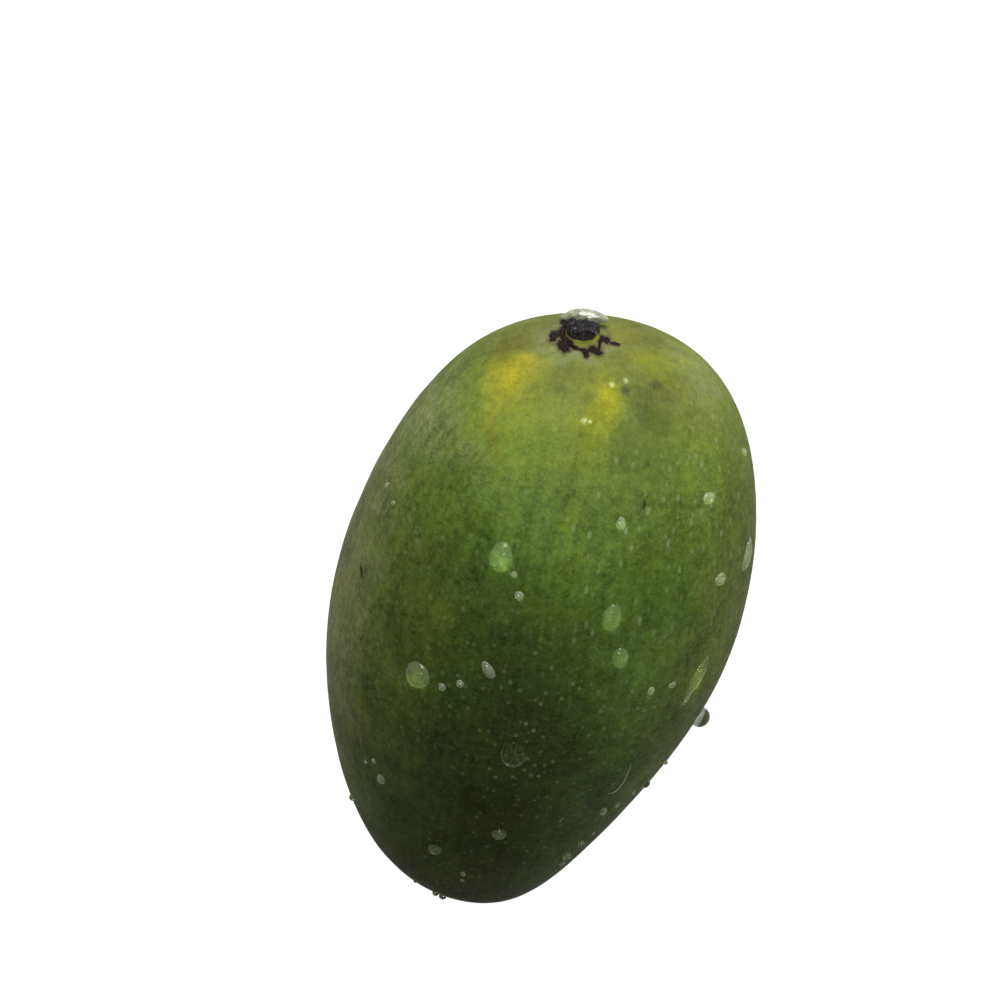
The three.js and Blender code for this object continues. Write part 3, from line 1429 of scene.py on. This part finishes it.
@dataclass
class WaterDrops:
    """The drops on the skin, each where the photograph shows it."""

    fruit: Fruit
    view: Viewpoint
    rings: int = 20
    spokes: int = 56
    height_share: dict[Form, float] = field(default_factory=lambda: {
        Form.ROUND: 0.62, Form.EGG: 0.55, Form.TEAR: 0.5, Form.FILM: 0.3, Form.BEAD: 1.0,
    })
    narrowing: dict[Form, float] = field(default_factory=lambda: {
        Form.ROUND: 0.0, Form.EGG: 0.13, Form.TEAR: 0.32, Form.FILM: 0.1, Form.BEAD: 0.0,
    })
    flatness: float = 0.86
    sag: float = 0.14
    sunk: float = 0.15 * MM
    slimming: float = 0.3
    bead_lift: float = 0.15
    least_cosine: float = 0.55
    base_steps: int = 3
    glow_low: float = 0.38
    glow_reach: float = 0.62
    glow_size: float = 1.9 * MM
    glow_depth: float = 2
    misty_below: float = 12.5
    dim_above: float = 10
    water: Water = Water()
    misty: Water = Water("misty_water", clearness=0.88)
    dim: Water = Water("dim_water", rgb(0.50, 0.56, 0.45), 0.97)
    film: Water = Water("clear_film", clearness=0.995)
    edge: Water = Water("water_edge", clearness=0.68)
    drops: tuple[Drop, ...] = (
        Drop(Pixel(501, 557), 25, 32, Form.EGG, 12),
        Drop(Pixel(417.5, 675), 26, 26),
        Drop(Pixel(612, 618), 21, 27, Form.EGG, 8),
        Drop(Pixel(620.5, 658), 17.5, 20),
        Drop(Pixel(698, 675), 17, 30, Form.TEAR, 35),
        Drop(Pixel(700, 717), 20, 26, Form.BEAD, 12),
        Drop(Pixel(709, 498), 12, 12),
        Drop(Pixel(720, 579), 12, 12),
        Drop(Pixel(488, 670), 12, 18, Form.EGG, -28),
        Drop(Pixel(519, 596), 10, 10),
        Drop(Pixel(514, 575), 7, 7),
        Drop(Pixel(621, 524), 10, 14, Form.EGG),
        Drop(Pixel(747, 554), 11, 30, Form.TEAR, 28),
        Drop(Pixel(744, 452), 8, 8),
        Drop(Pixel(759.5, 517), 5, 6, Form.BEAD),
        Drop(Pixel(387, 485), 5, 6),
        Drop(Pixel(393, 503), 4, 5),
        Drop(Pixel(612, 385), 6, 6),
        Drop(Pixel(626, 381), 6, 6),
        Drop(Pixel(584, 421), 7, 7),
        Drop(Pixel(590, 422), 5, 5),
        Drop(Pixel(460, 684), 8, 8),
        Drop(Pixel(442, 687), 8, 8),
        Drop(Pixel(651, 691), 8, 8),
        Drop(Pixel(687, 698), 6, 12, Form.EGG, 45),
        Drop(Pixel(672, 685), 9, 5),
        Drop(Pixel(665, 762), 5, 6, Form.BEAD),
        Drop(Pixel(647, 785), 11, 12, Form.BEAD),
        Drop(Pixel(633, 793), 5, 5),
        Drop(Pixel(617, 805), 6, 6),
        Drop(Pixel(603, 811), 9, 9),
        Drop(Pixel(593, 833), 5, 5),
        Drop(Pixel(586, 852), 8, 8, Form.BEAD),
        Drop(Pixel(571, 865), 10, 10, Form.BEAD),
        Drop(Pixel(562, 863), 7, 6),
        Drop(Pixel(381, 779), 9, 9),
        Drop(Pixel(374, 761), 5, 5),
        Drop(Pixel(366, 762), 4, 4),
        Drop(Pixel(353, 797), 7, 8, Form.BEAD),
        Drop(Pixel(435, 849), 14, 10, Form.ROUND, 20),
        Drop(Pixel(499, 834), 16, 9),
        Drop(Pixel(463, 874), 6, 5),
        Drop(Pixel(462, 880), 4, 4),
        Drop(Pixel(436, 892), 7, 7, Form.BEAD),
        Drop(Pixel(443, 895), 8, 7, Form.BEAD),
        Drop(Pixel(416, 880), 5, 5, Form.BEAD),
        Drop(Pixel(513, 755), 26, 26, Form.FILM),
        Drop(Pixel(615, 316), 10, 6, Form.ROUND),
    )

    rim: Rim = Rim((
        Pixel(608, 793.5), Pixel(612, 793), Pixel(616, 791), Pixel(620, 787),
        Pixel(624, 781), Pixel(627, 775), Pixel(629.5, 769), Pixel(631, 764),
    ), 1.2)
    rim_sides: int = 12
    rim_steps: int = 8
    rim_blunt: float = 0.02

    def build(self) -> list[bpy.types.Object]:
        """Makes every drop and the film's edge, and dresses them.

        Returns:
            The pieces of water.
        """
        made = {kind: kind.build() for kind in (self.water, self.misty, self.dim, self.film)}
        pieces = [self._film_edge()]
        for number, drop in enumerate(self.drops, 1):
            name = f"water_{drop.form.value}_{number:02d}"
            points = self._bead(drop) if drop.form is Form.BEAD else self._lens(drop)
            piece = new_piece(name, points, ring_faces(points, self.spokes))
            piece.data.materials.append(made[self._kind(drop)])
            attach(piece, BODY)
            pieces.append(piece)
        return pieces

    def _kind(self, drop: Drop) -> Water:
        """Which water a drop looks like: small ones are misty, and large ones at the edge are dim.

        Args:
            drop: the drop.

        Returns:
            The water.
        """
        if drop.form is Form.FILM:
            return self.film
        if drop.form is Form.BEAD:
            return self.dim if drop.wide > self.dim_above else self.water
        return self.water if drop.wide > self.misty_below else self.misty

    def _film_edge(self) -> bpy.types.Object:
        """Makes the thread that ends a film of water.

        Returns:
            The thread.
        """
        spots = [self.fruit.spot(self.view, pixel) for pixel in self.rim.path]
        knots = np.array([spot.point for spot in spots])
        outs = np.array([spot.out for spot in spots])
        steps = np.linspace(0, len(spots) - 1, self.rim_steps * (len(spots) - 1) + 1)
        radius = self.rim.wide / 2 * self.view.pixel_size(spots[0].point)
        middles = np.stack([np.interp(steps, range(len(spots)), knots[:, i]) for i in range(3)], axis=1)
        normals = np.stack([np.interp(steps, range(len(spots)), outs[:, i]) for i in range(3)], axis=1)
        runs = np.gradient(middles, axis=0)
        points = [middles[0]]
        for step, middle, out, run in zip(steps, middles, normals, runs):
            share = self.rim_blunt + (1 - 2 * self.rim_blunt) * step / steps[-1]
            thin = radius * math.sqrt(math.sin(math.pi * share))
            aside = np.cross(out, run)
            aside /= np.linalg.norm(aside)
            for turn in turns(self.rim_sides):
                points.append(middle + (aside * math.cos(turn) + out * math.sin(turn)) * thin)
        points = np.array(points + [middles[-1]])
        piece = new_piece("water_film_edge", points, ring_faces(points, self.rim_sides))
        piece.data.materials.append(self.edge.build())
        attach(piece, BODY)
        return piece

    def glow(self, skin: bpy.types.Object) -> None:
        """Marks painted light: how much brighter each drop, as a lens, would light the skin under its lower
        part, painted into the skin's colour.

        Args:
            skin: the fruit's fine mesh.
        """
        points = np.empty(3 * len(skin.data.vertices))
        skin.data.vertices.foreach_get("co", points)
        points = points.reshape(-1, 3)
        share = np.zeros(len(points))
        for drop in self.drops:
            if drop.form in (Form.FILM, Form.BEAD):
                continue
            spot = self.fruit.spot(self.view, drop.middle)
            half_wide, half_tall = self._sizes(drop, spot)
            offset = points - np.array(spot.point + spot.down * (self.glow_low * half_tall))
            wide = offset @ np.array(spot.across) / (self.glow_reach * half_wide)
            tall = offset @ np.array(spot.down) / (self.glow_reach * half_tall)
            deep = offset @ np.array(spot.out) / (self.glow_depth * half_wide)
            strength = min(half_wide / self.glow_size, 1)
            share = np.maximum(share, strength * np.exp(-(wide**2 + tall**2 + deep**2)))
        mark = skin.data.attributes.new(PAINTED_DROP_LIGHT, "FLOAT", "POINT")
        mark.data.foreach_set("value", share)

    def _sizes(self, drop: Drop, spot: Spot) -> tuple[float, float]:
        """Half the width and height of a drop on the skin.

        Args:
            drop: the drop.
            spot: its place on the skin.

        Returns:
            Both in metres, made up for the slant at which the skin is seen.
        """
        across, down = self.view.footprint(drop.middle, spot, self.least_cosine)
        return drop.wide / 2 * across, drop.tall / 2 * down

    def _base(self, spot: Spot, reach: float) -> Callable[[float, float], float]:
        """The skin's smooth shape round a spot, so that a drop has no facets.

        Args:
            spot: the place on the skin.
            reach: how far the shape has to hold.

        Returns:
            A function from steps across and down to the skin's height over the spot's own plane.
        """
        rows, heights = [], []
        steps = range(-self.base_steps, self.base_steps + 1)
        for i in steps:
            for j in steps:
                x, y = i / self.base_steps * reach, j / self.base_steps * reach
                flat = spot.point + spot.across * x + spot.down * y
                heights.append((self.fruit.drop_to_skin(flat, spot.out) - flat).dot(spot.out))
                rows.append((1, x, y, x * x, x * y, y * y))
        fit = np.linalg.lstsq(np.array(rows), np.array(heights), rcond=None)[0]
        return lambda x, y: float(np.dot(fit, (1, x, y, x * x, x * y, y * y)))

    def _lens(self, drop: Drop) -> np.ndarray:
        """A drop that lies on the skin, its sole sunk a little under it.

        Args:
            drop: the drop.

        Returns:
            Its points: a pole, rings from the sole's rim to the top, and a pole.
        """
        spot = self.fruit.spot(self.view, drop.middle)
        half_wide, half_tall = self._sizes(drop, spot)
        base = self._base(spot, max(half_wide, half_tall))
        lean = math.radians(drop.lean)
        top = self.height_share[drop.form] * min(half_wide, half_tall)
        edge = math.sqrt(1 - self.flatness)

        def place(flat_across: float, flat_down: float, lift: float) -> Vector:
            """A point over the skin, from shares of the drop's half sizes along its own lean."""
            x, y = flat_across * half_wide, flat_down * half_tall
            x, y = x * math.cos(lean) - y * math.sin(lean), x * math.sin(lean) + y * math.cos(lean)
            return spot.point + spot.across * x + spot.down * y + spot.out * (base(x, y) + lift)

        points = [place(0, 0, -self.sunk)]
        for i in range(-1, self.rings):
            out = 1 - max(i, 0) / self.rings
            rise = (math.sqrt(1 - self.flatness * out**2) - edge) / (1 - edge)
            lift = -self.sunk if i < 0 else rise * top
            for turn in turns(self.spokes):
                below = math.sin(turn) * out
                slim = 1 + self.narrowing[drop.form] * (below - self.slimming * out)
                shift = self.sag * (1 - out**2) + below
                points.append(place(math.cos(turn) * out * slim, shift, lift))
        points.append(place(0, self.sag, top))
        return np.array(points)

    def _bead(self, drop: Drop) -> np.ndarray:
        """A round drop at the fruit's edge, standing proud of the skin.

        Args:
            drop: the drop.

        Returns:
            Its points: a pole, rings up to the top, and a pole.
        """
        spot = self.fruit.spot(self.view, drop.middle)
        pixel = self.view.pixel_size(spot.point)
        half_wide, half_tall = drop.wide / 2 * pixel, drop.tall / 2 * pixel
        lean = math.radians(drop.lean)
        across = spot.across * math.cos(lean) + spot.down * math.sin(lean)
        down = spot.down * math.cos(lean) - spot.across * math.sin(lean)
        lift = self.height_share[drop.form] * half_wide
        middle = spot.point + spot.out * (self.bead_lift * half_wide)
        points = [middle - spot.out * lift]
        for i in range(1, 2 * self.rings):
            tilt = math.pi * i / (2 * self.rings)
            for turn in turns(self.spokes):
                flat = across * (math.cos(turn) * half_wide) + down * (math.sin(turn) * half_tall)
                points.append(middle + flat * math.sin(tilt) - spot.out * (lift * math.cos(tilt)))
        points.append(middle + spot.out * lift)
        return np.array(points)


@dataclass(frozen=True)
class Marks:
    """The patches of other colours that the photograph shows on the skin. Some dark ones over the lower half
    are painted shade, and the pale ones near the full side's upper edge are partly wax bloom and partly
    painted rim light.
    """

    tints: tuple[Tint, ...] = (
        Tint(Pixel(512, 374), 62, 50, rgb(0.32, 0.31, 0.018), 0.85),
        Tint(Pixel(522, 361), 34, 18, rgb(0.30, 0.24, 0.022), 0.55),
        Tint(Pixel(520, 343), 70, 16, rgb(0.115, 0.100, 0.020), 0.6),
        Tint(Pixel(602, 402), 34, 38, rgb(0.31, 0.31, 0.004), 0.9),
        Tint(Pixel(592, 425), 46, 50, rgb(0.15, 0.18, 0.013), 0.6),
        Tint(Pixel(493, 418), 20, 64, rgb(0.155, 0.155, 0.020), 0.55),
        Tint(Pixel(660, 366), 60, 40, rgb(0.19, 0.215, 0.018), 0.7),
        Tint(Pixel(652, 417), 14, 16, rgb(0.13, 0.17, 0.008), 0.8),
        Tint(Pixel(566, 524), 14, 16, rgb(0.12, 0.17, 0.008), 0.8),
        Tint(Pixel(705, 385), 34, 11, rgb(0.105, 0.125, 0.075), 0.75),
        Tint(Pixel(650, 452), 90, 80, rgb(0.062, 0.098, 0.018), 0.6),
        Tint(Pixel(656, 388), 14, 11, rgb(0.050, 0.055, 0.022), 0.8, 20),
        Tint(Pixel(618, 389), 16, 10, rgb(0.045, 0.050, 0.018), 0.85),
        Tint(Pixel(543, 332), 44, 20, rgb(0.095, 0.090, 0.018), 0.6),
        # Partly wax bloom and partly painted rim light, near the full side's upper edge.
        Tint(Pixel(452, 383), 50, 60, rgb(0.190, 0.220, 0.075), 0.5),
        # Painted shade: a darker patch on the lower left flank, turned from the light.
        Tint(Pixel(400, 632), 44, 70, rgb(0.028, 0.038, 0.008), 0.45),
        # Painted shade: a darker patch along the lower end.
        Tint(Pixel(485, 808), 140, 90, rgb(0.022, 0.027, 0.006), 0.5),
        Tint(Pixel(432, 595), 50, 110, rgb(0.062, 0.088, 0.013), 0.35),
        # Painted shade: darker patches on the lower right, this one and the next.
        Tint(Pixel(672, 705), 50, 70, rgb(0.034, 0.050, 0.012), 0.45),
        Tint(Pixel(600, 800), 40, 40, rgb(0.030, 0.036, 0.010), 0.5),
        Tint(Pixel(669, 395), 9, 5, rgb(0.050, 0.050, 0.020), 0.6, 25),
        Tint(Pixel(677, 413), 8, 7, rgb(0.060, 0.080, 0.028), 0.7),
        Tint(Pixel(600, 419), 8, 4, rgb(0.055, 0.060, 0.010), 0.8, 0, 0.5),
        Tint(Pixel(572, 411), 7, 6, rgb(0.085, 0.090, 0.020), 0.7),
        Tint(Pixel(643, 505), 6, 6, rgb(0.012, 0.020, 0.008), 0.9, 0, 0.5),
        Tint(Pixel(361, 570), 3, 6, rgb(0.015, 0.015, 0.008), 0.9, 0, 0.5),
        Tint(Pixel(686, 355), 6, 5, rgb(0.130, 0.100, 0.028), 0.7),
        # Partly wax bloom and partly painted rim light, along the full side's upper edge.
        Tint(Pixel(425, 412), 60, 120, rgb(0.185, 0.205, 0.085), 0.7, 25),
        Tint(Pixel(700, 372), 80, 70, rgb(0.200, 0.240, 0.075), 0.6),
        Tint(Pixel(640, 575), 60, 60, rgb(0.045, 0.075, 0.010), 0.5),
        # Painted shade: the large dark patch over the lower middle, turned from the light.
        Tint(Pixel(515, 700), 130, 230, rgb(0.024, 0.036, 0.008), 0.6, 8),
        Tint(Pixel(450, 560), 50, 90, rgb(0.044, 0.068, 0.010), 0.35),
        Tint(Pixel(416, 541), 3, 34, rgb(0.14, 0.16, 0.06), 0.45, 24, 0.5),
        Tint(Pixel(560, 610), 16, 22, rgb(0.075, 0.120, 0.010), 0.5),
    )

    def place(self, fruit: Fruit, view: Viewpoint) -> list[Patch]:
        """Finds each tint's place and size on the skin.

        Args:
            fruit: the fruit.
            view: where the photograph was taken from.

        Returns:
            The patches.
        """
        patches = []
        for tint in self.tints:
            spot = fruit.spot(view, tint.middle)
            across, down = view.footprint(tint.middle, spot)
            patches.append(Patch(tint, spot, tint.wide / 2 * across, tint.tall / 2 * down))
        return patches


@dataclass(frozen=True)
class Lamp:
    """A square lamp that points at the fruit. The heading turns from -Y towards +X, in degrees."""

    name: str
    side: float
    power: float
    elevation: float
    heading: float = 0
    distance: float = 0.75


@dataclass(frozen=True)
class Studio:
    """A plain pale floor under soft light from the stalk's side."""

    floor_reach: float = 6.0
    floor_drop: float = 0.1 * MM
    floor_grey: float = 0.8
    floor_glow: float = 0.12
    floor_shown: float = 0.77
    world_shown: float = 0.94
    overhead: float = 0.09
    level: Fade = Fade(0.85, -0.5, 0.40, 0.75)
    low_down: Fade = Fade(0.45, 0.02)
    floor_roughness: float = 0.8
    floor_sheen: float = 0.1
    lamps: tuple[Lamp, ...] = (
        Lamp("key_light", 0.45, 6.0, 15, 3),
        Lamp("glint_light", 0.11, 1.4, 64),
    )

    def build(self, middle: Vector) -> None:
        """Makes the floor, the world and the lamps.

        Args:
            middle: what the lamps point at.
        """
        self._floor()
        self._world()
        for lamp in self.lamps:
            elevation, heading = math.radians(lamp.elevation), math.radians(lamp.heading)
            level = Vector((math.sin(heading), -math.cos(heading), 0)) * math.cos(elevation)
            away = level + Vector((0, 0, math.sin(elevation)))
            light = bpy.data.lights.new(lamp.name, "AREA")
            light.size = lamp.side
            light.energy = lamp.power
            holder = bpy.data.objects.new(lamp.name, light)
            bpy.context.scene.collection.objects.link(holder)
            holder.location = middle + away * lamp.distance
            holder.rotation_euler = away.to_track_quat("Z", "Y").to_euler()
            holder.visible_camera = False

    def _floor(self) -> None:
        """Makes the pale floor."""
        reach = self.floor_reach
        corners = [(-reach, -reach), (reach, -reach), (reach, reach), (-reach, reach)]
        points = np.array([(x, y, -self.floor_drop) for x, y in corners])
        floor = new_piece("studio_floor", points, [(0, 1, 2, 3)])
        made = bpy.data.materials.new("studio_floor")
        graph = Graph(made)
        seen = graph.node("ShaderNodeLightPath", output="Is Camera Ray")
        glow, shown = self.floor_glow, self.floor_shown
        grey = self.floor_grey
        graph.surface(graph.principled({
            "Base Color": rgb(grey, grey, grey),
            "Roughness": self.floor_roughness,
            "Specular IOR Level": self.floor_sheen,
            "Emission Color": graph.mix(seen, rgb(glow, glow, glow), rgb(shown, shown, shown)),
            "Emission Strength": 1.0,
        }))
        floor.data.materials.append(made)

    def _world(self) -> None:
        """Makes a world that is bright low down on the stalk's side and dark overhead."""
        world = bpy.data.worlds.new("studio")
        bpy.context.scene.world = world
        graph = Graph(world)
        direction = graph.node("ShaderNodeTexCoord", output="Generated")
        parts = graph.node("ShaderNodeSeparateXYZ", {}, {0: direction}, "Z")
        level = graph.span(parts.also("Y"), self.level)
        grey = self.overhead + (level - self.overhead) * graph.span(parts, self.low_down)
        light = graph.node("ShaderNodeCombineColor", {}, {0: grey, 1: grey, 2: grey})
        seen = graph.node("ShaderNodeLightPath", output="Is Camera Ray")
        shown = self.world_shown
        colour = graph.mix(seen, light, rgb(shown, shown, shown))
        shader = graph.node("ShaderNodeBackground", {}, {"Color": colour})
        graph.node("ShaderNodeOutputWorld", {}, {"Surface": shader})


def main() -> None:
    """Builds the fruit, its stalk end, the water on it and the studio."""
    logging.basicConfig(level=logging.INFO, format="%(name)s: %(message)s")
    scene = bpy.context.scene
    scene.view_settings.view_transform = "Standard"
    fruit = Fruit()
    view = Viewpoint(fruit.middle)
    view.build()
    body = fruit.build()
    LOG.info("%s has %d faces", body.name, len(body.data.polygons))
    body.data.materials.append(Skin().build(Marks().place(fruit, view), fruit))
    stalk_end = StalkEnd(fruit, view)
    stalk_end.stain(body)
    drops = WaterDrops(fruit, view)
    drops.glow(body)
    for piece in stalk_end.build() + drops.build():
        LOG.info("%s has %d faces", piece.name, len(piece.data.polygons))
    Studio().build(fruit.middle)


if __name__ == "__main__":
    main()
